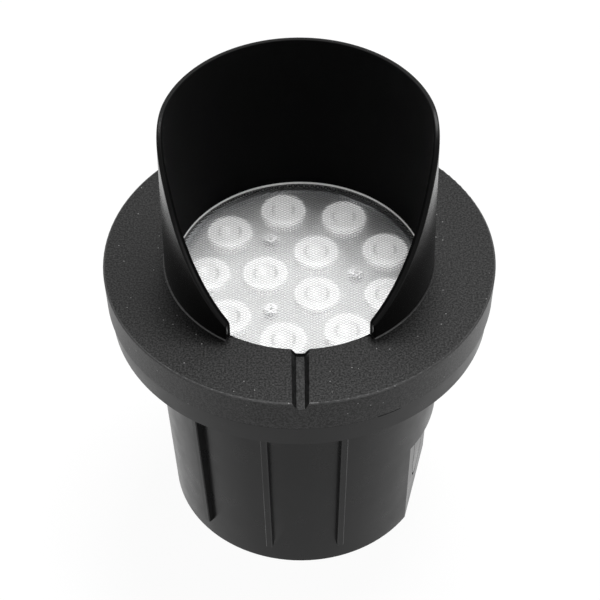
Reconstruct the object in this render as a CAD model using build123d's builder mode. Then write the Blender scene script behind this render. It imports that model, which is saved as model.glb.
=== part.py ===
from build123d import *
from math import radians, sqrt, tan
import os

# In-ground well light with a glare cowl, in millimetres and degrees. The origin is the centre
# of the sleeve's underside, +Z points up and the cowl opens towards -Y. Radii and heights that
# are worked out from the driving sizes follow them.

os.makedirs("parts", exist_ok=True)

# Driving sizes of the buried sleeve
sleeve_height = 120.0
body_base_diameter = 116.0
body_top_diameter = 126.8
body_base_chamfer = 0.5
sleeve_wall = 2.8
sleeve_floor = 3.0
sleeve_floor_chamfer = 2.5
mouth_wall = 2.9
mouth_depth = 20.0
mouth_lead = 0.8
collar_height = 11.0
collar_wall = 3.0
collar_draft = 1.1
collar_webs = 12
collar_web_width = 2.4
sleeve_turn = -13.8
rib_spread = 30.0
rib_width = 2.9
rib_depth_top = 3.7
rib_depth_base = 2.7
rib_edge_chamfer = 0.4
rib_foot = 12.7
pad_height = 53.0
pad_depth = 5.25
pad_lean = 1.6
knockout_width = 22.0
knockout_foot = 11.1
score_width = 0.9
score_depth = 0.7
starter_hole_diameter = 1.8
drain_hole_diameter = 6.0
drain_hole_count = 6
drain_circle_diameter = 72.0
pry_notch_angle = 39.8
pry_notch_width = 10.0
pry_notch_height = 0.7
pry_notch_reach = 3.0

# Driving sizes of the cover and its cowl
cover_diameter = 165.0
cover_height = 16.0
cover_draft = 0.6
cover_plate = 4.5
cover_wall = 3.0
cover_edge_round = 0.7
cover_webs = 12
cover_web_width = 2.4
cover_web_gap = 2.0
collar_inset = 0.5
seam_chamfer = 0.4
light_bore = 106.4
cowl_diameter = 113.4
cowl_height = 72.0
cowl_narrowing = 0.6
cowl_rim = 2.4
cowl_edge_round = 0.6
cowl_rim_inner_round = 0.3
cowl_tip_reach = 48.1
cowl_tip_height = 7.8
cowl_tip_round = 5.0
cowl_slope = 58.7
cowl_crown_round = 43.0
groove_floor_width = 3.3
groove_inner_width = 7.4
groove_outer_width = 6.6
groove_inner_depth = 2.4
groove_outer_depth = 3.3
groove_web_width = 12.0
spigot_wall = 3.6
spigot_depth = 14.0
turning_clearance = 0.3
lens_recess = 8.0

# Driving sizes of the seals, the lens and the ring that holds them
seal_section = 2.1
seal_chamfer = 0.4
seal_groove_depth = 2.1
seal_groove_width = 2.9
seal_groove_height = 6.0
gasket_thickness = 1.0
gasket_show = 0.2
lens_thickness = 3.0
lens_chamfer = 0.4
seat_clearance = 0.3
thread_clearance = 0.12
retaining_ring_height = 6.0
spanner_slots = 6
spanner_slot_width = 4.0
spanner_slot_depth = 2.5
lens_seal_section = 1.4
lens_seal_groove = 1.2

# Driving sizes of the lamp housing and its fins
flange_height = 4.0
chamber_wall = 2.8
spreader_thickness = 5.0
flange_reach = 2.8
cup_bore = 42.0
cup_wall = 3.5
cup_depth = 38.6
fin_count = 20
fin_thickness = 2.0
fin_top_reach = 52.0
fin_foot_reach = 36.0
fin_foot_rise = 4.0
fin_belly = 46.5
cap_boss_radius = 27.5
cap_boss_diameter = 8.0
cap_screw_count = 3

# Driving sizes of the light engine
thermal_pad_thickness = 0.5
board_thickness = 1.6
board_edge_gap = 0.6
outer_optics = 9
outer_optic_circle = 78.2
outer_optic_start = 20.0
inner_optics = 3
inner_optic_circle = 29.0
inner_optic_start = 60.0
board_screw_circle = 48.0
optic_diameter = 19.0
optic_height = 10.0
optic_rim = 1.0
optic_gap = 0.3
optic_bowl_diameter = 8.6
optic_bowl_depth = 1.6
optic_base_diameter = 8.4
optic_well_gap = 0.4
optic_well_depth = 2.6
holder_plate = 1.5
holder_gap = 0.15
holder_post_diameter = 7.0
emitter_side = 3.5
emitter_height = 1.0
emitter_window_side = 2.6
emitter_window_height = 0.5
lead_diameter = 1.8
lead_spacing = 4.2
lead_hole_clearance = 0.3
lead_joint_lap = 0.4
lead_joint_height = 0.6

# Driving sizes of the driver in the housing's cup
driver_board_diameter = 40.0
driver_board_drop = 11.0
driver_post_diameter = 6.0
driver_post_spacing = 30.0
driver_row = 10.0
capacitor_diameter = 8.0
capacitor_length = 12.0
capacitor_gap = 1.0
capacitor_chamfer = 0.5
choke_diameter = 12.0
choke_hole_diameter = 4.8
choke_height = 7.0
choke_chamfer = 1.0
choke_offset = 7.0
chip_length = 6.0
chip_width = 4.0
chip_height = 1.8
chip_gap = 2.0
terminal_length = 11.0
terminal_width = 8.0
terminal_height = 9.0
terminal_offset = 7.0
terminal_hole_diameter = 3.2
terminal_hole_spacing = 5.5
terminal_hole_depth = 4.5

# Driving sizes of the rear cap and the cable gland
cap_thickness = 3.0
cap_seal_thickness = 1.0
cap_plug_height = 3.0
cap_plug_wall = 3.0
cap_plug_clearance = 0.25
gland_thread_diameter = 12.0
gland_thread_clearance = 0.2
gland_hex = 17.0
gland_hex_height = 5.0
gland_stub_length = 8.7
gland_tail_length = 7.0
gland_wall = 1.2
gland_nut_height = 11.0
gland_nut_end = 2.5
gland_nut_travel = 3.5
gland_bush_wall = 2.4
cable_bore = 6.4
cable_hole = 7.4
gland_bush_length = 6.9
locknut_height = 3.0

# Driving sizes of the screws
screw_diameter = 3.0
screw_fit = 0.1
screw_clearance = 0.4
screw_head_diameter = 5.6
screw_head_height = 2.0
screw_socket_diameter = 2.2
screw_socket_depth = 1.0
tap_runout = 0.5
board_screw_reach = 3.5
cap_screw_length = 9.0
driver_screw_length = 6.0

# Heights and radii of the sleeve that follow
overrun = 5.0
seam_z = sleeve_height
collar_z = seam_z - collar_height
base_radius = body_base_diameter / 2
body_radius = body_top_diameter / 2
mouth_radius = body_radius - mouth_wall
cover_radius = cover_diameter / 2
cover_foot_radius = cover_radius - cover_draft
collar_radius = cover_foot_radius - collar_inset
collar_foot_radius = collar_radius - collar_draft
body_rate = (body_radius - base_radius) / collar_z
pad_reach = base_radius + body_rate * pad_height - pad_depth
pad_foot_reach = pad_reach - pad_lean
sleeve_front = -90 + sleeve_turn
pad_angles = [sleeve_front + 90, sleeve_front - 90]
rib_angles = [sleeve_front + side + step * rib_spread for side in (0, 180) for step in (-1, 0, 1)]

# Heights and radii of the cover and the lamp that follow
ring_top = seam_z + cover_height
bore_radius = light_bore / 2
spigot_radius = mouth_radius - turning_clearance
socket_radius = spigot_radius - spigot_wall
spigot_z = seam_z - spigot_depth
lens_top = ring_top - lens_recess
shoulder_z = lens_top + gasket_thickness
lens_base = lens_top - lens_thickness
seat_radius = socket_radius - seat_clearance
seal_z = spigot_z + seal_groove_height
groove_root_radius = spigot_radius - seal_groove_depth
flange_base = lens_base - flange_height
chamber_outer = seat_radius - flange_reach
chamber_radius = chamber_outer - chamber_wall
optic_top = lens_base - optic_gap
board_top = optic_top - optic_height
board_base = board_top - board_thickness
chamber_floor = board_base - thermal_pad_thickness
spreader_base = chamber_floor - spreader_thickness
holder_top = optic_top - screw_head_height
cup_radius = cup_bore / 2
cup_outer = cup_radius + cup_wall
cup_z = spreader_base - cup_depth
screw_radius = screw_diameter / 2
tapped_radius = screw_radius + screw_fit
free_radius = screw_radius + screw_clearance
lead_hole_radius = lead_diameter / 2 + lead_hole_clearance


def radial_plane(angle):
    """The upright plane through the Z axis whose x points outwards at this angle."""
    return Plane.XZ.rotated((0, 0, angle))


# Sleeve cavity, with the wall behind each flat pad kept
cavity_base = base_radius + body_rate * sleeve_floor - sleeve_wall
cavity_top_z = seam_z - mouth_depth
cavity_top = base_radius + body_rate * cavity_top_z - sleeve_wall
with BuildPart() as cavity:
    with BuildSketch(Plane.XZ):
        with BuildLine():
            Polyline(
                (0, sleeve_floor),
                (cavity_base, sleeve_floor),
                (cavity_top, cavity_top_z),
                (mouth_radius, cavity_top_z),
                (mouth_radius, seam_z + overrun),
                (0, seam_z + overrun),
                close=True,
            )
        make_face()
    revolve(axis=Axis.Z)
    floor_edge = cavity.edges().group_by(Axis.Z)[0]
    chamfer(floor_edge, sleeve_floor_chamfer)
    for angle in pad_angles:
        with BuildSketch(radial_plane(angle)):
            with BuildLine():
                Polyline(
                    (pad_foot_reach - sleeve_wall, 0),
                    (pad_reach - sleeve_wall, pad_height + sleeve_wall),
                    (body_radius, pad_height + sleeve_wall),
                    (body_radius, 0),
                    close=True,
                )
            make_face()
        extrude(amount=base_radius, both=True, mode=Mode.SUBTRACT)

# One rib of the sleeve, with its outer edges chamfered
rib_root = base_radius + body_rate * rib_foot
with BuildPart() as rib:
    with BuildSketch(Plane.XZ):
        with BuildLine():
            Polyline(
                (rib_root - 1, rib_foot),
                (rib_root + rib_depth_base, rib_foot),
                (body_radius + rib_depth_top, collar_z),
                (body_radius - 1, collar_z),
                close=True,
            )
        make_face()
    extrude(amount=rib_width / 2, both=True)
    crest = rib.faces().sort_by_distance((body_radius + rib_depth_top, 0, collar_z / 2))[0]
    chamfer(crest.edges().filter_by(lambda e: e.length > rib_width), rib_edge_chamfer)

# Sleeve: the tapered can with its ribs, pads, collar, drain holes and pry notch
web_length = collar_foot_radius - collar_wall - body_radius + 2
web_height = collar_height - collar_wall
with BuildPart() as sleeve:
    with BuildSketch(Plane.XZ):
        with BuildLine():
            Polyline(
                (0, 0),
                (base_radius, 0),
                (body_radius, collar_z),
                (collar_foot_radius, collar_z),
                (collar_radius, seam_z),
                (0, seam_z),
                close=True,
            )
        make_face()
    revolve(axis=Axis.Z)
    for angle in pad_angles:
        with BuildSketch(radial_plane(angle)):
            with BuildLine():
                Polyline(
                    (pad_foot_reach, 0),
                    (pad_reach, pad_height),
                    (body_radius + overrun, pad_height),
                    (body_radius + overrun, 0),
                    close=True,
                )
            make_face()
        extrude(amount=base_radius, both=True, mode=Mode.SUBTRACT)
    chamfer(sleeve.edges().group_by(Axis.Z)[0], body_base_chamfer)
    with BuildSketch(Plane.XY.offset(collar_z)):
        Circle(collar_foot_radius - collar_wall)
        Circle(body_radius, mode=Mode.SUBTRACT)
    extrude(amount=web_height, mode=Mode.SUBTRACT)
    with Locations((0, 0, collar_z)):
        with PolarLocations(body_radius - 1, collar_webs, start_angle=sleeve_front):
            Box(
                web_length,
                collar_web_width,
                web_height,
                align=(Align.MIN, Align.CENTER, Align.MIN),
            )
    for angle in rib_angles:
        add(rib.part, rotation=(0, 0, angle))
    add(cavity.part, mode=Mode.SUBTRACT)
    mouth_edge = sleeve.edges().filter_by(GeomType.CIRCLE).group_by(Axis.Z)[-1]
    chamfer(mouth_edge.sort_by(SortBy.RADIUS)[0], mouth_lead)
    chamfer(mouth_edge.sort_by(SortBy.RADIUS)[-1], seam_chamfer)
    for angle in pad_angles:
        pad_face = Plane(
            origin=Vector(pad_foot_reach, 0, 0).rotate(Axis.Z, angle),
            x_dir=Vector(0, 1, 0).rotate(Axis.Z, angle),
            z_dir=Vector(pad_height, 0, -pad_lean).rotate(Axis.Z, angle),
        )
        bend_height = knockout_foot + knockout_width / 2
        with BuildSketch(pad_face) as score:
            with Locations((0, bend_height)):
                Circle(knockout_width / 2)
                Rectangle(knockout_width, pad_height, align=(Align.CENTER, Align.MIN))
                Circle(knockout_width / 2 - score_width, mode=Mode.SUBTRACT)
                Rectangle(
                    knockout_width - 2 * score_width,
                    pad_height,
                    align=(Align.CENTER, Align.MIN),
                    mode=Mode.SUBTRACT,
                )
            with Locations((0, pad_height)):
                Rectangle(
                    knockout_width + overrun,
                    2 * pad_height,
                    align=(Align.CENTER, Align.MIN),
                    mode=Mode.SUBTRACT,
                )
        extrude(amount=-score_depth, mode=Mode.SUBTRACT)
        with BuildSketch(pad_face):
            with Locations((0, bend_height)):
                with PolarLocations((knockout_width - score_width) / 2, 2, start_angle=225, angular_range=180):
                    Circle(starter_hole_diameter / 2)
        extrude(amount=-sleeve_wall - overrun, mode=Mode.SUBTRACT)
    with PolarLocations(drain_circle_diameter / 2, drain_hole_count, start_angle=sleeve_front):
        Cylinder(
            drain_hole_diameter / 2,
            sleeve_floor,
            align=(Align.CENTER, Align.CENTER, Align.MIN),
            mode=Mode.SUBTRACT,
        )
    with Locations((0, 0, seam_z)):
        with PolarLocations(collar_radius - pry_notch_reach, 1, start_angle=sleeve_front + pry_notch_angle):
            Box(
                pry_notch_reach + overrun,
                pry_notch_width,
                2 * pry_notch_height,
                align=(Align.MIN, Align.CENTER, Align.CENTER),
                mode=Mode.SUBTRACT,
            )
sleeve.part.label = "sleeve"
export_step(sleeve.part, "parts/sleeve.step")

# Cowl shell: the tapered tube's skin, cut by the side profile, is thickened inwards, so that
# its rim stays square to the wall all the way round
cowl_radius = cowl_diameter / 2
cowl_rate = cowl_narrowing / cowl_height
cowl_root = 3.0
cowl_top = ring_top + cowl_height
cowl_bore_top = cowl_radius - cowl_narrowing - cowl_rim
crown_y = (cowl_height - cowl_tip_height) / tan(radians(cowl_slope)) - cowl_tip_reach
clear = cover_radius
with BuildPart() as cowl_blank:
    with Locations((0, 0, ring_top - cowl_root)):
        Cone(
            cowl_radius + cowl_rate * cowl_root,
            cowl_radius - cowl_narrowing - cowl_rate * overrun,
            cowl_root + cowl_height + overrun,
            rotation=(0, 0, -90),
            align=(Align.CENTER, Align.CENTER, Align.MIN),
        )
    with BuildSketch(Plane.YZ) as cowl_side:
        with BuildLine():
            Polyline(
                (-clear, ring_top - cowl_root / 2),
                (-cowl_tip_reach, ring_top - cowl_root / 2),
                (-cowl_tip_reach, ring_top + cowl_tip_height),
                (crown_y, cowl_top),
                (clear, cowl_top),
                (clear, cowl_top + clear),
                (-clear, cowl_top + clear),
                close=True,
            )
        make_face()
        crown_corner = cowl_side.vertices().sort_by_distance((crown_y, cowl_top))[0]
        fillet(crown_corner, cowl_crown_round)
        tip_corner = cowl_side.vertices().sort_by_distance((-cowl_tip_reach, ring_top + cowl_tip_height))[0]
        fillet(tip_corner, cowl_tip_round)
    extrude(amount=clear, both=True, mode=Mode.SUBTRACT)
cowl_skin = cowl_blank.faces().filter_by(GeomType.CONE).sort_by(SortBy.AREA)[-1]


def rim_edges(tube, radius):
    """The edges of the tube's slanted rim that run along this radius about the Z axis."""
    edges = tube.edges().filter_by_position(Axis.Z, ring_top + cowl_tip_height, cowl_top + 1)
    return edges.filter_by(
        lambda e: all(abs(Vector(p.X, p.Y).length - radius) < 1 for p in (e @ 0, e @ 0.5, e @ 1))
    )


with BuildPart() as cowl:
    thicken(cowl_skin, amount=bore_radius - cowl_radius - cowl_rim)
    with BuildSketch(Plane.YZ):
        with BuildLine():
            Polyline(
                (0, ring_top - cowl_root - overrun),
                (-bore_radius, ring_top - cowl_root - overrun),
                (-bore_radius, ring_top),
                (-cowl_bore_top, cowl_top),
                (-cowl_bore_top, cowl_top + overrun),
                (0, cowl_top + overrun),
                close=True,
            )
        make_face()
    revolve(axis=Axis.Z, mode=Mode.SUBTRACT)
    fillet(rim_edges(cowl, bore_radius), cowl_rim_inner_round)

# Cover: the ring, its hollow underside, the spigot that turns in the sleeve, and the cowl
plate_z = ring_top - cover_plate
skirt_radius = cover_foot_radius - cover_wall
cover_web_length = skirt_radius - spigot_radius + 2
with BuildPart() as cover:
    with BuildSketch(Plane.XZ):
        with BuildLine():
            Polyline(
                (bore_radius, ring_top),
                (cover_radius, ring_top),
                (cover_foot_radius, seam_z),
                (skirt_radius, seam_z),
                (skirt_radius, plate_z),
                (spigot_radius, plate_z),
                (spigot_radius, spigot_z),
                (socket_radius, spigot_z),
                (socket_radius, shoulder_z),
                (bore_radius, shoulder_z),
                close=True,
            )
        make_face()
    revolve(axis=Axis.Z)
    with Locations((0, 0, plate_z + 1)):
        with PolarLocations(spigot_radius - 1, cover_webs, start_angle=-90):
            Box(
                cover_web_length,
                cover_web_width,
                plate_z + 1 - seam_z - cover_web_gap,
                align=(Align.MIN, Align.CENTER, Align.MAX),
            )
        with PolarLocations(spigot_radius - 1, 1, start_angle=-90):
            Box(
                cover_web_length,
                groove_web_width,
                cover_plate,
                align=(Align.MIN, Align.CENTER, Align.MAX),
            )
    edge = cover.edges().filter_by(GeomType.CIRCLE).group_by(Axis.Z)[-1].sort_by(SortBy.RADIUS)[-1]
    fillet(edge, cover_edge_round)
    foot = cover.edges().filter_by(GeomType.CIRCLE).filter_by_position(Axis.Z, seam_z - 0.01, seam_z + 0.01)
    chamfer(foot.sort_by(SortBy.RADIUS)[-1], seam_chamfer)
    with BuildSketch(Plane.XZ):
        with Locations((spigot_radius, seal_z)):
            Rectangle(2 * seal_groove_depth, seal_groove_width)
    revolve(axis=Axis.Z, mode=Mode.SUBTRACT)
    add(cowl.part)
    root_edges = cover.edges().filter_by(GeomType.CIRCLE).filter_by_position(Axis.Z, ring_top - 0.01, ring_top + 0.01)
    root_edge = root_edges.filter_by(lambda e: abs(e.radius - cowl_radius) < 0.5)
    fillet(root_edge + rim_edges(cover, cowl_radius), cowl_edge_round)
    for reach, width, depth in (
        (bore_radius - overrun, groove_inner_width, groove_inner_depth),
        (cover_radius + overrun, groove_outer_width, groove_outer_depth),
    ):
        flare = (width - groove_floor_width) / 2 / depth
        with BuildSketch(Plane.XZ.offset(reach)):
            with BuildLine():
                Polyline(
                    (-groove_floor_width / 2, ring_top - depth),
                    (groove_floor_width / 2, ring_top - depth),
                    (width / 2 + flare, ring_top + 1),
                    (-width / 2 - flare, ring_top + 1),
                    close=True,
                )
            make_face()
    loft(mode=Mode.SUBTRACT)
cover.part.label = "cover"
export_step(cover.part, "parts/cover.step")

# Ring seal that turns and slides in the sleeve's mouth, in the spigot's groove
seal_radius = (groove_root_radius + mouth_radius) / 2
with BuildPart() as mouth_seal:
    with BuildSketch(Plane.XZ) as seal_profile:
        with Locations((seal_radius, seal_z)):
            Rectangle(seal_section, seal_section)
        chamfer(seal_profile.vertices().group_by(Axis.X)[-1], seal_chamfer)
    revolve(axis=Axis.Z)
mouth_seal.part.label = "mouth_seal"
export_step(mouth_seal.part, "parts/mouth_seal.step")

# Flat gasket between the cover's shoulder and the lens
with BuildPart() as lens_gasket:
    with BuildSketch(Plane.XY.offset(lens_top)):
        Circle(seat_radius)
        Circle(bore_radius - gasket_show, mode=Mode.SUBTRACT)
    extrude(amount=gasket_thickness)
lens_gasket.part.label = "lens_gasket"
export_step(lens_gasket.part, "parts/lens_gasket.step")

# Round glass lens
with BuildPart() as lens:
    with Locations((0, 0, lens_base)):
        Cylinder(seat_radius, lens_thickness, align=(Align.CENTER, Align.CENTER, Align.MIN))
    chamfer(lens.edges().filter_by(GeomType.CIRCLE), lens_chamfer)
lens.part.label = "lens"
export_step(lens.part, "parts/lens.step")

# Places of the optics, in an outer and an inner circle
optic_spots = [
    Vector(circle / 2, 0, 0).rotate(Axis.Z, start + 360 / count * step)
    for count, circle, start in (
        (outer_optics, outer_optic_circle, outer_optic_start),
        (inner_optics, inner_optic_circle, inner_optic_start),
    )
    for step in range(count)
]

# One radial cooling fin, hollowed towards its foot
fin_root = cup_outer - 1
with BuildPart() as fin:
    with BuildSketch(Plane.XZ):
        with BuildLine():
            Polyline(
                (fin_foot_reach, cup_z + fin_foot_rise),
                (fin_root, cup_z + fin_foot_rise),
                (fin_root, spreader_base + 1),
                (fin_top_reach, spreader_base + 1),
                (fin_top_reach, spreader_base - fin_foot_rise),
            )
            ThreePointArc(
                (fin_top_reach, spreader_base - fin_foot_rise),
                (fin_belly, (spreader_base + cup_z) / 2),
                (fin_foot_reach, cup_z + fin_foot_rise),
            )
        make_face()
    extrude(amount=fin_thickness / 2, both=True)

# Lamp housing: the flange under the lens, the chamber, the heat spreader with its fins and
# the driver's cup with its posts and screw bosses
lens_seal_radius = (chamber_radius + seat_radius) / 2
with BuildPart() as lamp_housing:
    with BuildSketch(Plane.XZ):
        with BuildLine():
            Polyline(
                (chamber_radius, lens_base),
                (seat_radius, lens_base),
                (seat_radius, flange_base),
                (chamber_outer, flange_base),
                (chamber_outer, spreader_base),
                (cup_outer, spreader_base),
                (cup_outer, cup_z),
                (cup_radius, cup_z),
                (cup_radius, spreader_base),
                (0, spreader_base),
                (0, chamber_floor),
                (chamber_radius, chamber_floor),
                close=True,
            )
        make_face()
    revolve(axis=Axis.Z)
    with BuildSketch(Plane.XZ):
        with Locations((lens_seal_radius, lens_base)):
            Rectangle(lens_seal_section + lens_seal_groove / 2, 2 * lens_seal_groove)
    revolve(axis=Axis.Z, mode=Mode.SUBTRACT)
    with PolarLocations(0, fin_count):
        add(fin.part)
    with Locations((0, 0, cup_z)):
        with PolarLocations(cap_boss_radius, cap_screw_count, start_angle=45):
            Cylinder(
                cap_boss_diameter / 2,
                cup_depth + 1,
                align=(Align.CENTER, Align.CENTER, Align.MIN),
            )
            Cylinder(
                tapped_radius,
                cap_screw_length - cap_thickness,
                align=(Align.CENTER, Align.CENTER, Align.MIN),
                mode=Mode.SUBTRACT,
            )
    with Locations((0, 0, spreader_base - driver_board_drop)):
        with GridLocations(driver_post_spacing, 1, 2, 1):
            Cylinder(
                driver_post_diameter / 2,
                driver_board_drop + 1,
                align=(Align.CENTER, Align.CENTER, Align.MIN),
            )
            Cylinder(
                tapped_radius,
                driver_screw_length,
                align=(Align.CENTER, Align.CENTER, Align.MIN),
                mode=Mode.SUBTRACT,
            )
    with Locations((0, 0, chamber_floor)):
        with PolarLocations(board_screw_circle / 2, 3):
            Cylinder(
                tapped_radius,
                board_screw_reach + tap_runout,
                align=(Align.CENTER, Align.CENTER, Align.MAX),
                mode=Mode.SUBTRACT,
            )
        with GridLocations(lead_spacing, 1, 2, 1):
            Cylinder(
                lead_hole_radius,
                spreader_thickness,
                align=(Align.CENTER, Align.CENTER, Align.MAX),
                mode=Mode.SUBTRACT,
            )
lamp_housing.part.label = "lamp_housing"
export_step(lamp_housing.part, "parts/lamp_housing.step")

# Ring between the lens and the housing's flange, standing in the flange's groove
with BuildPart() as lens_seal:
    with BuildSketch(Plane.XY.offset(lens_base)):
        Circle(lens_seal_radius + lens_seal_section / 2)
        Circle(lens_seal_radius - lens_seal_section / 2, mode=Mode.SUBTRACT)
    extrude(amount=-lens_seal_groove)
lens_seal.part.label = "lens_seal"
export_step(lens_seal.part, "parts/lens_seal.step")

# Threaded ring that clamps the housing, the lens and the gasket in the cover
ring_outer = socket_radius - thread_clearance
with BuildPart() as retaining_ring:
    with BuildSketch(Plane.XY.offset(flange_base)):
        Circle(ring_outer)
        Circle(chamber_outer + seat_clearance, mode=Mode.SUBTRACT)
    extrude(amount=-retaining_ring_height)
    with Locations((0, 0, flange_base - retaining_ring_height)):
        with PolarLocations(ring_outer, spanner_slots, start_angle=30):
            Box(
                2 * flange_reach + 2 * spanner_slot_depth,
                spanner_slot_width,
                2 * spanner_slot_depth,
                mode=Mode.SUBTRACT,
            )
retaining_ring.part.label = "retaining_ring"
export_step(retaining_ring.part, "parts/retaining_ring.step")

# Thermal pad and light-engine board, with the same holes
board_radius = chamber_radius - board_edge_gap
for name, base, thickness in (
    ("thermal_pad", chamber_floor, thermal_pad_thickness),
    ("led_board", board_base, board_thickness),
):
    with BuildPart() as layer:
        with BuildSketch(Plane.XY.offset(base)):
            Circle(board_radius)
            with PolarLocations(board_screw_circle / 2, 3):
                Circle(free_radius, mode=Mode.SUBTRACT)
            with GridLocations(lead_spacing, 1, 2, 1):
                Circle(lead_hole_radius, mode=Mode.SUBTRACT)
        extrude(amount=thickness)
    layer.part.label = name
    export_step(layer.part, f"parts/{name}.step")

# Twelve emitters, each a square package with a raised window
with BuildPart() as led_emitters:
    with Locations((0, 0, board_top)):
        with Locations(*optic_spots):
            Box(
                emitter_side,
                emitter_side,
                emitter_height,
                align=(Align.CENTER, Align.CENTER, Align.MIN),
            )
            Box(
                emitter_window_side,
                emitter_window_side,
                emitter_height + emitter_window_height,
                align=(Align.CENTER, Align.CENTER, Align.MIN),
            )
led_emitters.part.label = "led_emitters"
export_step(led_emitters.part, "parts/led_emitters.step")

# One collimating optic: a cone with a square well that fits over the emitter, a straight rim
# and a small bowl in its top
rim_radius = optic_diameter / 2
base_ring = optic_base_diameter / 2
well_side = emitter_side + 2 * optic_well_gap
rim_z = optic_top - optic_rim
with BuildPart() as optic:
    with BuildSketch(Plane.XZ):
        with BuildLine():
            Polyline(
                (base_ring, board_top),
                (rim_radius, rim_z),
                (rim_radius, optic_top),
                (optic_bowl_diameter / 2, optic_top),
                (0, optic_top - optic_bowl_depth),
                (0, board_top),
                close=True,
            )
        make_face()
    revolve(axis=Axis.Z)
    with Locations((0, 0, board_top)):
        Box(
            well_side,
            well_side,
            optic_well_depth,
            align=(Align.CENTER, Align.CENTER, Align.MIN),
            mode=Mode.SUBTRACT,
        )
with BuildPart() as optics:
    with Locations(*optic_spots):
        add(optic.part)
optics.part.label = "optics"
export_step(optics.part, "parts/optics.step")

# Optic holders in one tray: a plate that grips each cone under its rim, on three hollow posts
# that stand on the light-engine board round the screws
holder_share = (holder_top - board_top) / (rim_z - board_top)
holder_radius = base_ring + holder_share * (rim_radius - base_ring) + holder_gap
with BuildPart() as optic_holders:
    with BuildSketch(Plane.XY.offset(holder_top)):
        Circle(board_radius)
        with Locations(*optic_spots):
            Circle(holder_radius, mode=Mode.SUBTRACT)
    extrude(amount=-holder_plate)
    with BuildSketch(Plane.XY.offset(board_top)):
        with PolarLocations(board_screw_circle / 2, 3):
            Circle(holder_post_diameter / 2)
    extrude(amount=holder_top - board_top)
    with BuildSketch(Plane.XY.offset(board_top)):
        with PolarLocations(board_screw_circle / 2, 3):
            Circle(free_radius)
    extrude(amount=holder_top - board_top, mode=Mode.SUBTRACT)
optic_holders.part.label = "optic_holders"
export_step(optic_holders.part, "parts/optic_holders.step")


def pan_screws(length, spots, seat_z, side):
    """Equal pan-head screws at these spots. The heads lie above seat_z if side is 1, below if -1."""
    head_z = seat_z + side * screw_head_height
    with BuildPart() as screws:
        with BuildSketch(Plane.XY.offset(seat_z)):
            with Locations(*spots):
                Circle(screw_radius)
        extrude(amount=-side * length)
        with BuildSketch(Plane.XY.offset(seat_z)):
            with Locations(*spots):
                Circle(screw_head_diameter / 2)
        extrude(amount=side * screw_head_height)
        with BuildSketch(Plane.XY.offset(head_z)):
            with Locations(*spots):
                RegularPolygon(screw_socket_diameter / 2, 6)
        extrude(amount=-side * screw_socket_depth, mode=Mode.SUBTRACT)
    return screws.part


def ring_of_spots(radius, count, start=0.0):
    """Evenly spaced points on a circle about the Z axis."""
    return [Vector(radius, 0, 0).rotate(Axis.Z, start + 360 / count * step) for step in range(count)]


# Three screws through the tray's posts and the board into the spreader
board_screw_length = holder_top - chamber_floor + board_screw_reach
board_screws = pan_screws(board_screw_length, ring_of_spots(board_screw_circle / 2, 3), holder_top, 1)
board_screws.label = "board_screws"
export_step(board_screws, "parts/board_screws.step")

# Driver board under its posts, with its two screws
driver_top = spreader_base - driver_board_drop
driver_base = driver_top - board_thickness
post_spots = ring_of_spots(driver_post_spacing / 2, 2)
with BuildPart() as driver_board:
    with BuildSketch(Plane.XY.offset(driver_base)):
        Circle(driver_board_diameter / 2)
        with Locations(*post_spots):
            Circle(free_radius, mode=Mode.SUBTRACT)
    extrude(amount=board_thickness)
driver_board.part.label = "driver_board"
export_step(driver_board.part, "parts/driver_board.step")

driver_screws = pan_screws(driver_screw_length, post_spots, driver_base, -1)
driver_screws.label = "driver_screws"
export_step(driver_screws, "parts/driver_screws.step")

# Two leads from the driver board up through the spreader to their joints on the light-engine
# board, which lie over the holes
lead_radius = lead_diameter / 2
with BuildPart() as driver_leads:
    with BuildSketch(Plane.XY.offset(driver_top)):
        with GridLocations(lead_spacing, 1, 2, 1):
            Circle(lead_radius)
    extrude(amount=board_top + lead_joint_height - driver_top)
    with BuildSketch(Plane.XY.offset(board_top)):
        with GridLocations(lead_spacing, 1, 2, 1):
            Circle(lead_hole_radius + lead_joint_lap)
    extrude(amount=lead_joint_height)
driver_leads.part.label = "driver_leads"
export_step(driver_leads.part, "parts/driver_leads.step")

# Parts on the driver board's underside: two capacitors, the choke, three chips and the
# supply terminal
capacitor_step = capacitor_diameter + capacitor_gap
with BuildPart() as driver_capacitors:
    with BuildSketch(Plane.XY.offset(driver_base)):
        with Locations((0, driver_row)):
            with GridLocations(capacitor_step, 1, 2, 1):
                Circle(capacitor_diameter / 2)
    extrude(amount=-capacitor_length)
    chamfer(driver_capacitors.edges().group_by(Axis.Z)[0], capacitor_chamfer)
driver_capacitors.part.label = "driver_capacitors"
export_step(driver_capacitors.part, "parts/driver_capacitors.step")

with BuildPart() as driver_choke:
    with BuildSketch(Plane.XY.offset(driver_base)):
        with Locations((-choke_offset, -driver_row)):
            Circle(choke_diameter / 2)
            Circle(choke_hole_diameter / 2, mode=Mode.SUBTRACT)
    extrude(amount=-choke_height)
    chamfer(driver_choke.edges().group_by(Axis.Z)[0], choke_chamfer)
driver_choke.part.label = "driver_choke"
export_step(driver_choke.part, "parts/driver_choke.step")

with BuildPart() as driver_chips:
    with BuildSketch(Plane.XY.offset(driver_base)):
        with GridLocations(chip_length + chip_gap, 1, 3, 1):
            Rectangle(chip_length, chip_width)
    extrude(amount=-chip_height)
driver_chips.part.label = "driver_chips"
export_step(driver_chips.part, "parts/driver_chips.step")

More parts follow.
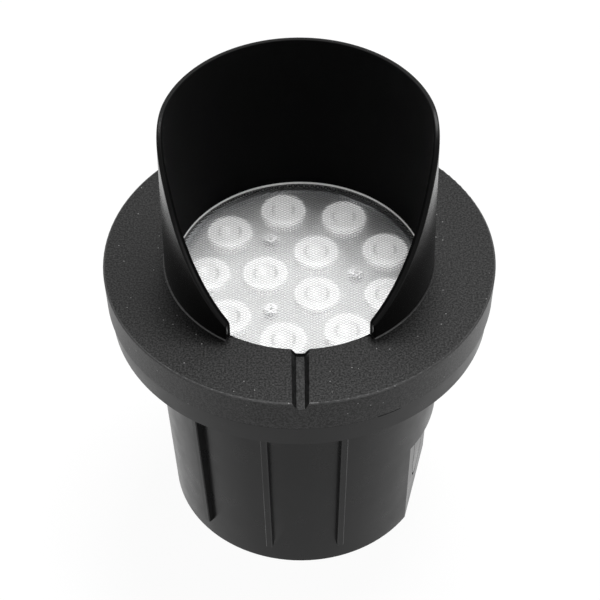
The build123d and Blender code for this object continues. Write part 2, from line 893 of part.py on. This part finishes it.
with BuildPart() as supply_terminal:
    with BuildSketch(Plane.XY.offset(driver_base)):
        with Locations((terminal_offset, -driver_row)):
            Rectangle(terminal_length, terminal_width)
    extrude(amount=-terminal_height)
    with BuildSketch(Plane.XY.offset(driver_base - terminal_height)):
        with Locations((terminal_offset, -driver_row)):
            with GridLocations(terminal_hole_spacing, 1, 2, 1):
                Circle(terminal_hole_diameter / 2)
    extrude(amount=terminal_hole_depth, mode=Mode.SUBTRACT)
supply_terminal.part.label = "supply_terminal"
export_step(supply_terminal.part, "parts/supply_terminal.step")

# Rear cap on the driver's cup, with four ears and the plug that centres it, and its seal
cap_top = cup_z - cap_seal_thickness
cap_base = cap_top - cap_thickness
plug_radius = cup_radius - cap_plug_clearance
ear_spots = ring_of_spots(cap_boss_radius, cap_screw_count, 45)
with BuildPart() as rear_cap:
    with BuildSketch(Plane.XY.offset(cap_base)) as cap_outline:
        Circle(cup_outer)
        with Locations(*ear_spots):
            Circle(cap_boss_diameter / 2)
        with Locations(*ear_spots):
            Circle(free_radius, mode=Mode.SUBTRACT)
        Circle(gland_thread_diameter / 2 + gland_thread_clearance, mode=Mode.SUBTRACT)
    extrude(amount=cap_thickness)
    with BuildSketch(Plane.XY.offset(cap_top)):
        Circle(plug_radius)
        Circle(plug_radius - cap_plug_wall, mode=Mode.SUBTRACT)
    extrude(amount=cap_seal_thickness + cap_plug_height)
rear_cap.part.label = "rear_cap"
export_step(rear_cap.part, "parts/rear_cap.step")

with BuildPart() as rear_cap_seal:
    with BuildSketch(Plane.XY.offset(cap_top)):
        Circle(cup_outer)
        with Locations(*ear_spots):
            Circle(cap_boss_diameter / 2)
        with Locations(*ear_spots):
            Circle(free_radius, mode=Mode.SUBTRACT)
        Circle(cup_radius, mode=Mode.SUBTRACT)
    extrude(amount=cap_seal_thickness)
rear_cap_seal.part.label = "rear_cap_seal"
export_step(rear_cap_seal.part, "parts/rear_cap_seal.step")

rear_cap_screws = pan_screws(cap_screw_length, ear_spots, cap_base, -1)
rear_cap_screws.label = "rear_cap_screws"
export_step(rear_cap_screws, "parts/rear_cap_screws.step")

# Cable gland: the body through the rear cap, its locknut, the rubber bush and the cap nut
hex_base = cap_base - gland_hex_height
tail_base = hex_base - gland_tail_length
nut_base = tail_base - gland_nut_end - gland_nut_travel
bush_base = nut_base + gland_nut_end
bush_top = bush_base + gland_bush_length
cable_radius = cable_hole / 2
tail_radius = gland_thread_diameter / 2 + gland_wall
bush_radius = cable_bore / 2 + gland_bush_wall
with BuildPart() as gland_body:
    with BuildSketch(Plane.XZ):
        with BuildLine():
            Polyline(
                (cable_radius, bush_top),
                (bush_radius + cap_plug_clearance, bush_top),
                (bush_radius + cap_plug_clearance, tail_base),
                (tail_radius, tail_base),
                (tail_radius, cap_base),
                (gland_thread_diameter / 2, cap_base),
                (gland_thread_diameter / 2, cap_base + gland_stub_length),
                (cable_radius, cap_base + gland_stub_length),
                close=True,
            )
        make_face()
    revolve(axis=Axis.Z)
    with BuildSketch(Plane.XY.offset(hex_base)):
        RegularPolygon(gland_hex / 2, 6, major_radius=False)
        Circle(gland_thread_diameter / 2, mode=Mode.SUBTRACT)
    extrude(amount=gland_hex_height)
gland_body.part.label = "gland_body"
export_step(gland_body.part, "parts/gland_body.step")

with BuildPart() as gland_locknut:
    with BuildSketch(Plane.XY.offset(cap_top)):
        RegularPolygon(gland_hex / 2, 6, major_radius=False)
        Circle(gland_thread_diameter / 2 + thread_clearance, mode=Mode.SUBTRACT)
    extrude(amount=locknut_height)
gland_locknut.part.label = "gland_locknut"
export_step(gland_locknut.part, "parts/gland_locknut.step")

with BuildPart() as gland_bush:
    with BuildSketch(Plane.XY.offset(bush_base)):
        Circle(bush_radius)
        Circle(cable_bore / 2, mode=Mode.SUBTRACT)
    extrude(amount=gland_bush_length)
gland_bush.part.label = "gland_bush"
export_step(gland_bush.part, "parts/gland_bush.step")

with BuildPart() as gland_nut:
    with BuildSketch(Plane.XY.offset(bush_base)):
        RegularPolygon(gland_hex / 2, 6, major_radius=False)
    extrude(amount=gland_nut_height - gland_nut_end)
    with BuildSketch(Plane.XY.offset(bush_base)):
        Circle(gland_hex / 2)
    extrude(amount=-gland_nut_end, taper=25)
    with BuildSketch(Plane.XY.offset(bush_base)):
        Circle(tail_radius + thread_clearance)
    extrude(amount=gland_nut_height - gland_nut_end, mode=Mode.SUBTRACT)
    with BuildSketch(Plane.XY.offset(nut_base)):
        Circle(cable_radius)
    extrude(amount=gland_nut_end, mode=Mode.SUBTRACT)
gland_nut.part.label = "gland_nut"
export_step(gland_nut.part, "parts/gland_nut.step")
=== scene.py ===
from math import cos, pi, radians, sin

import bmesh
import bpy
from mathutils import Matrix, Vector

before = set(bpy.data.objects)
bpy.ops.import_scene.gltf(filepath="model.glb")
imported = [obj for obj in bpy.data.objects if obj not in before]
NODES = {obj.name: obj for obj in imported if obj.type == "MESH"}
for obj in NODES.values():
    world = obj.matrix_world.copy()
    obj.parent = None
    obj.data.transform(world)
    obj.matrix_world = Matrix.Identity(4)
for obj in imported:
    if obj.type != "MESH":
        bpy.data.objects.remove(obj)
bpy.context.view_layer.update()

# Places on the object that the materials follow, in metres and degrees as in the part
RING_TOP = 0.136
RING_RADIUS = 0.0825
COWL_TOP = 0.208
COWL_MIDDLE_RADIUS = 0.0550
COWL_NARROWING = 0.0006
LENS_TOP = 0.128
OPTIC_RADIUS = 0.0095
CORE_RADIUS = 0.0043
OUTER_COUNT = 9
OUTER_START = 20.0
OUTER_CIRCLE = 0.0391
INNER_COUNT = 3
INNER_START = 60.0
INNER_CIRCLE = 0.0145

# Noise spread over a whole tint, and shifts that keep a count or an angle above zero
NOISE_BAND = (0.3, 0.7)
CELL_SHIFT = 100.0
STEP_SHIFT = 20

# Powder coat: bands run from no effect to the whole effect
COAT_DARK = (0.0005, 0.0005, 0.0005)
COAT_LIGHT = (0.024, 0.024, 0.0242)
SPECK_TONE = 0.30
COWL_TONE = 0.002
# The tone and shine inside the cowl paint its shade: blacker, and almost without shine
BORE_SHADE_TONE = (0.0025, 0.0025, 0.0026)
COWL_SHINE = 0.14
BORE_SHADE_SHINE = 0.03
COAT_SPECULAR = 0.6
COAT_SHINE = (0.17, 0.44)
COAT_ROUGH = (0.38, 0.44)
COAT_BUMP_STRENGTH = 0.5
COAT_BUMP_HEIGHT = 0.0001
COWL_ROUGH = 0.26
BORE_ROUGH = 0.85
EDGE_ROUGH = 0.42
GRAIN_SCALE = 1250
GRAIN_SHARE = 0.6
SKIN_SCALE = 520
PATCH_SCALE = 22
SPECK_SCALE = 230
GRAIN_BAND = (0.42, 0.62)
SHINE_BAND = (0.38, 0.66)
SPECK_BAND = (0.07, 0.05)
WALL_BAND = (-0.0002, 0.0002)
COWL_BAND = (RING_TOP + 0.0004, RING_TOP + 0.0009)
LEVEL_BAND = (0.00005, 0.0001)
LIP_RADIUS_BAND = (0.0547, 0.0545)
LIP_FRONT_BAND = (-0.047, -0.046)
EDGE_RADIUS_BAND = (0.0816, 0.0818)
EDGE_HEIGHT_BAND = (0.1352, 0.1354)
ROOT_FOOT_BAND = (RING_TOP + 0.00004, RING_TOP + 0.0001)
ROOT_HEAD_BAND = (RING_TOP + 0.0008, RING_TOP + 0.0006)

# Patterned lens: grooves per metre across and along, how the glass bends and shines, and the painted shade
# along its grooves
CELLS_ACROSS = 415
CELLS_ALONG = 680
DOME_HEIGHT = 0.0003
UPPER_BAND = (LENS_TOP - 0.0006, LENS_TOP - 0.0001)
GROOVE_BAND = (0.0, 0.5)
# The grooves' darker tone in the glass is painted shade
GROOVE_SHADE_TONE = 0.62
GLASS_IOR = 1.45
GLASS_BLUR = 0.09
GLASS_GLOSS_ROUGH = 0.2
GLASS_HAZE = 0.07
HAZE_TONE = 0.95
CLEAR_TONE = (0.97, 0.975, 0.975)

# Plastic and metal
MOULDED_BUMP = 0.35
CAST_BUMP = 0.4
CAST_SHADE = 0.85
CAST_TONE_SCALE = 60
CAST_ROUGH_SCALE = 140

# Optics, which glow with painted light: bands by distance from each optic's middle, by direction (a painted
# reflection of the dark cowl at their sides) and towards the front (a painted highlight)
CORE_BAND = (CORE_RADIUS - 0.0002, CORE_RADIUS)
HOLLOW_BAND = (CORE_RADIUS, CORE_RADIUS + 0.0012)
RIM_BAND = (OPTIC_RADIUS - 0.0012, OPTIC_RADIUS - 0.0008)
DARK_REFLECTION_BAND = (0.72, 0.86)
FRONT_HIGHLIGHT_BAND = (-0.0055, -0.0082)
CORE_TONE = 0.84
HOLLOW_TONE = 0.80
DARK_REFLECTION_TONE = 0.48
RING_TONE = 0.82
RIM_TONE = 0.88
FRONT_HIGHLIGHT_TONE = 1.0
OPTIC_ROUGH = (0.26, 0.34)
OPTIC_ROUGH_SCALE = 500
# The optics' glow is painted light: they are no lamp
OPTIC_PAINTED_GLOW = 0.66
OPTIC_BODY = 0.50
HOLLOW_STRENGTH = 0.6
HOLLOW_DEPTH = 0.0012

# Studio
FLOOR_SIZE = 6
FLOOR_HEIGHT = -0.0005
FLOOR_TONE = 0.86
FLOOR_SHARE = 0.9
FLOOR_WHITE = 1.06
AMBIENT = 0.04
LIGHT_TARGET = (0, 0, 0.12)

# Camera: tilt and roll in radians, focal length in pixels, place in ring radii
TILT = 0.8067
ROLL = 0.0099
FOCAL = 2000.0
IMAGE_WIDTH = 600
SENSOR_WIDTH = 36
CAMERA_RIGHT = 0.0038
CAMERA_DOWN = 0.2256
CAMERA_BACK = 10.1929


def grey(tone):
    return (tone, tone, tone)


# Node material helpers
class Shader:
    """A material's node tree with short ways to add and link nodes."""

    def __init__(self, name):
        self.material = bpy.data.materials.new(name)
        self.material.use_nodes = True
        self.tree = self.material.node_tree
        self.tree.nodes.clear()
        self.out = self.tree.nodes.new("ShaderNodeOutputMaterial")

    def node(self, kind, **settings):
        made = self.tree.nodes.new(kind)
        for key, value in settings.items():
            setattr(made, key, value)
        return made

    def link(self, source, target):
        self.tree.links.new(source, target)

    def feed(self, socket, value):
        if isinstance(value, bpy.types.NodeSocket):
            self.link(value, socket)
        else:
            socket.default_value = value

    def math(self, operation, a, b=0.0):
        made = self.node("ShaderNodeMath", operation=operation)
        self.feed(made.inputs[0], a)
        self.feed(made.inputs[1], b)
        return made.outputs[0]

    def both(self, a, b):
        return self.math("MULTIPLY", a, b)

    def either(self, a, b):
        return self.math("MAXIMUM", a, b)

    def without(self, a):
        return self.math("SUBTRACT", 1.0, a)

    def vector(self, operation, a, b=(0.0, 0.0, 0.0)):
        made = self.node("ShaderNodeVectorMath", operation=operation)
        self.feed(made.inputs[0], a)
        self.feed(made.inputs[1], b)
        return made.outputs["Value"] if operation in ("LENGTH", "DOT_PRODUCT") else made.outputs[0]

    def place(self):
        return self.node("ShaderNodeTexCoord").outputs["Object"]

    def split(self, place):
        """The X, Y and Z of a place."""
        made = self.node("ShaderNodeSeparateXYZ")
        self.link(place, made.inputs[0])
        return made.outputs

    def noise(self, place, scale, detail=2.0, rough=0.5):
        made = self.node("ShaderNodeTexNoise")
        self.link(place, made.inputs["Vector"])
        made.inputs["Scale"].default_value = scale
        made.inputs["Detail"].default_value = detail
        made.inputs["Roughness"].default_value = rough
        return made.outputs["Fac"]

    def ramp(self, value, low, high, start, end):
        made = self.node("ShaderNodeMapRange")
        self.link(value, made.inputs["Value"])
        made.inputs["From Min"].default_value = low
        made.inputs["From Max"].default_value = high
        made.inputs["To Min"].default_value = start
        made.inputs["To Max"].default_value = end
        return made.outputs["Result"]

    def mask(self, value, band):
        """0 before the band's first value, 1 past its second."""
        return self.ramp(value, *band, 0.0, 1.0)

    def mottle(self, place, scale, detail, low=0.0, high=1.0):
        """A noise spread between two values."""
        return self.ramp(self.noise(place, scale, detail), *NOISE_BAND, low, high)

    def tint(self, factor, first, second):
        made = self.node("ShaderNodeMix", data_type="RGBA")
        self.link(factor, made.inputs["Factor"])
        for socket, value in ((made.inputs[6], first), (made.inputs[7], second)):
            self.feed(socket, (*value, 1) if isinstance(value, tuple) else value)
        return made.outputs[2]

    def tint_value(self, factor, first, second):
        made = self.node("ShaderNodeMix", data_type="FLOAT")
        self.link(factor, made.inputs[0])
        self.feed(made.inputs[2], first)
        self.feed(made.inputs[3], second)
        return made.outputs[0]

    def mix(self, factor, first, second):
        """Two shaders, mixed."""
        made = self.node("ShaderNodeMixShader")
        self.feed(made.inputs[0], factor)
        self.link(first, made.inputs[1])
        self.link(second, made.inputs[2])
        return made.outputs[0]

    def bump(self, height, strength, distance):
        made = self.node("ShaderNodeBump")
        self.feed(made.inputs["Strength"], strength)
        made.inputs["Distance"].default_value = distance
        self.link(height, made.inputs["Height"])
        return made.outputs["Normal"]

    def surface(self, **sockets):
        """The main shader, with an underscore for each space in a socket's name."""
        made = self.node("ShaderNodeBsdfPrincipled")
        for key, value in sockets.items():
            self.feed(made.inputs[key.replace("_", " ")], value)
        return made.outputs["BSDF"]

    def finish(self, shader):
        self.link(shader, self.out.inputs["Surface"])
        return self.material


def powder_coat():
    """Black powder coat: fine grain with a few pale specks, smoother and blacker on the cowl,
    matt and blacker still inside it, with almost no shine, which paints the shade in the cowl's hollow, and a
    brighter line on the ring's edge and the cowl's root."""
    s = Shader("powder_coat")
    place = s.place()
    parts = s.split(place)
    height = parts["Z"]
    radius = s.vector("LENGTH", s.vector("MULTIPLY", place, (1, 1, 0)))
    middle = s.ramp(height, RING_TOP, COWL_TOP, COWL_MIDDLE_RADIUS, COWL_MIDDLE_RADIUS - COWL_NARROWING)
    inside = s.mask(s.math("SUBTRACT", middle, radius), WALL_BAND)
    above = s.mask(height, COWL_BAND)
    off_level = s.mask(s.math("ABSOLUTE", s.math("SUBTRACT", height, RING_TOP)), LEVEL_BAND)
    lip = s.both(s.mask(radius, LIP_RADIUS_BAND), s.mask(parts["Y"], LIP_FRONT_BAND))
    bore = s.both(inside, s.either(off_level, lip))
    outer_edge = s.both(s.mask(radius, EDGE_RADIUS_BAND), s.mask(height, EDGE_HEIGHT_BAND))
    root = s.both(s.mask(height, ROOT_FOOT_BAND), s.mask(height, ROOT_HEAD_BAND))
    edge = s.either(outer_edge, s.both(root, s.without(inside)))

    grain = s.noise(place, GRAIN_SCALE, 2, 0.7)
    dots = s.node("ShaderNodeTexVoronoi")
    s.link(place, dots.inputs["Vector"])
    dots.inputs["Scale"].default_value = SPECK_SCALE
    speck = s.both(s.mask(dots.outputs["Distance"], SPECK_BAND), s.without(above))
    color = s.tint(s.mask(grain, GRAIN_BAND), COAT_DARK, COAT_LIGHT)
    color = s.tint(speck, color, grey(SPECK_TONE))
    color = s.tint(above, color, grey(COWL_TONE))
    # Inside the cowl the blacker tone, and below it the near-zero shine, paint the shade of its hollow
    color = s.tint(bore, color, BORE_SHADE_TONE)

    rough = s.tint_value(above, s.mottle(place, PATCH_SCALE, 3, *COAT_ROUGH), COWL_ROUGH)
    rough = s.tint_value(bore, rough, BORE_ROUGH)
    rough = s.tint_value(edge, rough, EDGE_ROUGH)
    shine = s.tint(above, s.ramp(grain, *SHINE_BAND, *COAT_SHINE), grey(COWL_SHINE))
    shine = s.tint(bore, shine, grey(BORE_SHADE_SHINE))
    shine = s.tint(edge, shine, grey(1.0))

    relief = s.math("ADD", s.both(grain, GRAIN_SHARE), s.noise(place, SKIN_SCALE, 3, 0.55))
    normal = s.bump(relief, s.both(s.without(edge), COAT_BUMP_STRENGTH), COAT_BUMP_HEIGHT)
    return s.finish(s.surface(Base_Color=color, Roughness=rough, Normal=normal, Specular_Tint=shine,
                              Specular_IOR_Level=COAT_SPECULAR))


def moulded(name, dark, light, rough, grain=900, depth=0.00003, spread=35, specular=0.5, glow=0.0):
    """Moulded plastic or rubber: a faint mottle and a fine skin, and a glow, if given, that is painted light.
    """
    s = Shader(name)
    place = s.place()
    color = s.tint(s.mottle(place, spread, 3), dark, light)
    normal = s.bump(s.noise(place, grain), MOULDED_BUMP, depth)
    return s.finish(s.surface(Base_Color=color, Roughness=s.mottle(place, spread * 3, 2, *rough),
                              Normal=normal, Specular_IOR_Level=specular,
                              Emission_Color=(1, 1, 1, 1), Emission_Strength=glow))


def cast_metal(name, tone, rough, grain=700, depth=0.00006):
    """Bare cast or turned metal with a grainy skin."""
    s = Shader(name)
    place = s.place()
    dark = tuple(channel * CAST_SHADE for channel in tone)
    color = s.tint(s.mottle(place, CAST_TONE_SCALE, 3), dark, tone)
    normal = s.bump(s.noise(place, grain, 3), CAST_BUMP, depth)
    return s.finish(s.surface(Base_Color=color, Roughness=s.mottle(place, CAST_ROUGH_SCALE, 2, *rough),
                              Normal=normal, Metallic=1.0))


def domes(s, place):
    """Two crossing sets of grooves: the height of the domes between them, and how far the place
    is from a groove, both from 0 to 1."""
    folds = []
    for side in (-1, 1):
        steps = s.vector("DOT_PRODUCT", place, (side * CELLS_ACROSS, CELLS_ALONG, 0))
        part = s.math("FRACT", s.math("ADD", steps, CELL_SHIFT))
        fold = s.math("ABSOLUTE", s.math("SUBTRACT", part, 0.5))
        folds.append(s.without(s.both(fold, 2.0)))
    return s.both(s.math("ADD", *folds), 0.5), s.math("MINIMUM", *folds)


def patterned_glass():
    """Clear lens whose small domes, on its upper face, bend what lies under it, and whose grooves pass less
    light, a painted shade.
    """
    s = Shader("patterned_glass")
    place = s.place()
    upper = s.mask(s.split(place)["Z"], UPPER_BAND)
    heights, clear_of_groove = domes(s, place)
    normal = s.bump(s.both(heights, upper), 1.0, DOME_HEIGHT)
    # Along the grooves the glass passes less light: painted shade
    groove_shade = s.either(s.mask(clear_of_groove, GROOVE_BAND), s.without(upper))
    bent = s.node("ShaderNodeBsdfRefraction")
    s.link(s.tint(groove_shade, grey(GROOVE_SHADE_TONE), grey(1.0)), bent.inputs["Color"])
    bent.inputs["IOR"].default_value = GLASS_IOR
    bent.inputs["Roughness"].default_value = GLASS_BLUR
    gloss = s.node("ShaderNodeBsdfGlossy")
    gloss.inputs["Roughness"].default_value = GLASS_GLOSS_ROUGH
    facing = s.node("ShaderNodeFresnel")
    facing.inputs["IOR"].default_value = GLASS_IOR
    for made in (bent, gloss, facing):
        s.link(normal, made.inputs["Normal"])
    haze = s.node("ShaderNodeBsdfDiffuse")
    haze.inputs["Color"].default_value = (*grey(HAZE_TONE), 1)
    clear = s.node("ShaderNodeBsdfTransparent")
    clear.inputs["Color"].default_value = (*CLEAR_TONE, 1)
    path = s.node("ShaderNodeLightPath")
    lit = s.either(path.outputs["Is Shadow Ray"], path.outputs["Is Diffuse Ray"])
    pane = s.mix(facing.outputs[0], bent.outputs[0], gloss.outputs[0])
    misty = s.mix(GLASS_HAZE, pane, haze.outputs[0])
    return s.finish(s.mix(lit, misty, clear.outputs[0]))


def fan(s, place, count, start, circle):
    """Distance to the nearest of count points on a circle about the Z axis, and how far the
    place lies from it along X and Y."""
    parts = s.split(place)
    angle = s.math("ARCTAN2", parts["Y"], parts["X"])
    step = 2 * pi / count
    turned = s.math("ADD", angle, STEP_SHIFT * step - radians(start) + step / 2)
    off = s.math("SUBTRACT", s.math("MODULO", turned, step), step / 2)
    toward = s.math("SUBTRACT", angle, off)
    side = s.math("SUBTRACT", parts["X"], s.both(s.math("COSINE", toward), circle))
    ahead = s.math("SUBTRACT", parts["Y"], s.both(s.math("SINE", toward), circle))
    squares = s.math("ADD", s.both(side, side), s.both(ahead, ahead))
    return s.math("SQRT", squares), side, ahead


def clear_optic():
    """Collimating optics that glow with painted light: a bright core, a ring round it that is darker at its
    two sides, a painted reflection of the dark cowl, and a pale rim that is brightest towards the front, a
    painted highlight."""
    s = Shader("clear_optic")
    place = s.place()
    outer, outer_side, outer_ahead = fan(s, place, OUTER_COUNT, OUTER_START, OUTER_CIRCLE)
    inner, inner_side, inner_ahead = fan(s, place, INNER_COUNT, INNER_START, INNER_CIRCLE)
    closer = s.math("LESS_THAN", inner, outer)
    near = s.math("MINIMUM", outer, inner)
    side = s.tint_value(closer, outer_side, inner_side)
    ahead = s.tint_value(closer, outer_ahead, inner_ahead)
    # Darker at the left and right of each optic: a painted reflection of the dark cowl
    dark_reflection = s.mask(s.math("DIVIDE", s.math("ABSOLUTE", side), near), DARK_REFLECTION_BAND)
    core = s.mask(near, CORE_BAND)
    past_hollow = s.mask(near, HOLLOW_BAND)

    hollow = s.tint(dark_reflection, grey(HOLLOW_TONE), grey(DARK_REFLECTION_TONE))
    ring = s.tint(past_hollow, hollow, grey(RING_TONE))
    tone = s.tint(core, grey(CORE_TONE), ring)
    tone = s.tint(s.mask(near, RIM_BAND), tone, grey(RIM_TONE))
    # Brighter towards the front of each optic: a painted highlight
    tone = s.tint(s.mask(ahead, FRONT_HIGHLIGHT_BAND), tone, grey(FRONT_HIGHLIGHT_TONE))
    body = s.vector("MULTIPLY", tone, grey(OPTIC_BODY))
    relief = s.math("SUBTRACT", s.both(s.without(core), 0.5), s.without(past_hollow))
    return s.finish(s.surface(Base_Color=body, Emission_Color=tone, Emission_Strength=OPTIC_PAINTED_GLOW,
                              Roughness=s.mottle(place, OPTIC_ROUGH_SCALE, 2, *OPTIC_ROUGH),
                              Normal=s.bump(relief, HOLLOW_STRENGTH, HOLLOW_DEPTH)))


# One look for each node: dark and light tone, then the roughness from low to high
LOOKS = {
    "cover": powder_coat(),
    "sleeve": moulded("sleeve_polymer", (0.006, 0.0061, 0.0063), (0.009, 0.0091, 0.0094), (0.26, 0.34),
                      grain=1500, depth=0.00002, specular=0.18),
    "mouth_seal": moulded("seal_rubber", grey(0.010), grey(0.018), (0.5, 0.62)),
    # The gasket's glow is painted light: the silicone is no lamp
    "lens_gasket": moulded("gasket_silicone", (0.84, 0.84, 0.82), (0.90, 0.90, 0.88), (0.4, 0.55), glow=0.12),
    "lens": patterned_glass(),
    "lamp_housing": cast_metal("cast_aluminium", (0.52, 0.53, 0.54), (0.38, 0.52)),
    "retaining_ring": cast_metal("dark_aluminium", (0.05, 0.05, 0.052), (0.3, 0.4), grain=1200, depth=0.00002),
    "thermal_pad": moulded("pad_silicone", (0.35, 0.40, 0.45), (0.42, 0.47, 0.52), (0.6, 0.75)),
    "led_board": moulded("white_mask", (0.84, 0.84, 0.83), (0.90, 0.90, 0.89), (0.3, 0.4),
                         grain=600, depth=0.00001),
    "led_emitters": moulded("phosphor", (0.86, 0.76, 0.22), (0.92, 0.84, 0.36), (0.25, 0.35)),
    "optics": clear_optic(),
    "optic_holders": moulded("white_moulding", grey(0.64), grey(0.69), (0.35, 0.5)),
    "board_screws": cast_metal("screw_steel", grey(0.62), (0.7, 0.8), grain=1500, depth=0.00001),
    "driver_leads": moulded("lead_sheath", (0.62, 0.60, 0.55), (0.72, 0.70, 0.66), (0.35, 0.45)),
    "driver_board": moulded("board_laminate", (0.02, 0.12, 0.05), (0.03, 0.16, 0.07), (0.3, 0.4)),
    "driver_capacitors": cast_metal("capacitor_can", (0.66, 0.66, 0.68), (0.25, 0.35),
                                    grain=1500, depth=0.00001),
    "driver_choke": moulded("ferrite", (0.045, 0.045, 0.05), (0.07, 0.07, 0.075), (0.5, 0.65)),
    "driver_chips": moulded("chip_epoxy", grey(0.014), grey(0.022), (0.4, 0.55)),
    "supply_terminal": moulded("terminal_moulding", (0.55, 0.56, 0.52), (0.64, 0.65, 0.60), (0.35, 0.5)),
    "gland_body": moulded("gland_nylon", (0.02, 0.02, 0.021), (0.03, 0.03, 0.031), (0.35, 0.5)),
}
SAME = {
    "lens_seal": "mouth_seal",
    "driver_screws": "board_screws",
    "rear_cap": "lamp_housing",
    "rear_cap_seal": "mouth_seal",
    "rear_cap_screws": "board_screws",
    "gland_locknut": "gland_body",
    "gland_bush": "mouth_seal",
    "gland_nut": "gland_body",
}
for name, obj in NODES.items():
    obj.data.materials.clear()
    obj.data.materials.append(LOOKS[SAME.get(name, name)])


# Floor, world and lights
def seen_rays(tree):
    """1 for the rays that show the backdrop: camera, glossy and transmission rays."""
    path = tree.nodes.new("ShaderNodeLightPath")
    total = path.outputs["Is Camera Ray"]
    for other in ("Is Glossy Ray", "Is Transmission Ray"):
        most = tree.nodes.new("ShaderNodeMath")
        most.operation = "MAXIMUM"
        tree.links.new(total, most.inputs[0])
        tree.links.new(path.outputs[other], most.inputs[1])
        total = most.outputs[0]
    return total


def studio_white(name):
    """Matt white that takes shadows, and shows as white to the rays that see it."""
    s = Shader(name)
    matt = s.node("ShaderNodeBsdfDiffuse")
    matt.inputs["Color"].default_value = (*grey(FLOOR_TONE), 1)
    glow = s.node("ShaderNodeEmission")
    glow.inputs["Color"].default_value = (1, 1, 1, 1)
    glow.inputs["Strength"].default_value = FLOOR_WHITE
    return s.finish(s.mix(s.both(seen_rays(s.tree), FLOOR_SHARE), matt.outputs[0], glow.outputs[0]))


def level_square(name, size, z):
    """A level square about the Z axis."""
    made = bmesh.new()
    half = size / 2
    corners = ((-half, -half), (half, -half), (half, half), (-half, half))
    made.faces.new([made.verts.new((x, y, z)) for x, y in corners])
    mesh = bpy.data.meshes.new(name)
    made.to_mesh(mesh)
    made.free()
    obj = bpy.data.objects.new(name, mesh)
    bpy.context.collection.objects.link(obj)
    return obj


floor = level_square("studio_floor", FLOOR_SIZE, FLOOR_HEIGHT)
floor.data.materials.append(studio_white("floor_white"))

scene = bpy.context.scene
world = bpy.data.worlds.new("studio")
scene.world = world
world.use_nodes = True
tree = world.node_tree
tree.nodes.clear()
either = tree.nodes.new("ShaderNodeMixShader")
tree.links.new(seen_rays(tree), either.inputs[0])
for slot, strength in ((1, AMBIENT), (2, 1.0)):
    sky = tree.nodes.new("ShaderNodeBackground")
    sky.inputs["Color"].default_value = (1, 1, 1, 1)
    sky.inputs["Strength"].default_value = strength
    tree.links.new(sky.outputs[0], either.inputs[slot])
world_out = tree.nodes.new("ShaderNodeOutputWorld")
tree.links.new(either.outputs[0], world_out.inputs[0])


def softbox(name, place, width, height, power):
    """A rectangular lamp at place that faces the object."""
    lamp = bpy.data.lights.new(name, "AREA")
    lamp.shape = "RECTANGLE"
    lamp.size = width
    lamp.size_y = height
    lamp.energy = power
    obj = bpy.data.objects.new(name, lamp)
    bpy.context.collection.objects.link(obj)
    away = Vector(place) - Vector(LIGHT_TARGET)
    obj.matrix_world = Matrix.Translation(place) @ away.to_track_quat("Z", "Y").to_matrix().to_4x4()


softbox("overhead_light", place=(0.26, 0.52, 1.85), width=0.9, height=0.7, power=28)
softbox("right_light", place=(1.15, -0.66, 0.5), width=0.6, height=0.5, power=2.2)
softbox("front_light", place=(0.05, -0.95, 1.15), width=0.16, height=0.12, power=1.3)

# Camera at the photograph's angle
ahead = Vector((0, cos(TILT), -sin(TILT)))
level = Vector((1, 0, 0))
upward = Vector((0, sin(TILT), cos(TILT)))
right = level * cos(ROLL) - upward * sin(ROLL)
up = level * sin(ROLL) + upward * cos(ROLL)
offset = CAMERA_RIGHT * right - CAMERA_DOWN * up - CAMERA_BACK * ahead
spot = Vector((0, 0, RING_TOP)) + RING_RADIUS * offset
lens_data = bpy.data.cameras.new("camera")
lens_data.sensor_width = SENSOR_WIDTH
lens_data.lens = FOCAL / IMAGE_WIDTH * SENSOR_WIDTH
camera = bpy.data.objects.new("camera", lens_data)
bpy.context.collection.objects.link(camera)
turn = Matrix((right, up, -ahead)).transposed().to_4x4()
camera.matrix_world = Matrix.Translation(spot) @ turn
bpy.context.scene.camera = camera

scene.view_settings.view_transform = "Standard"
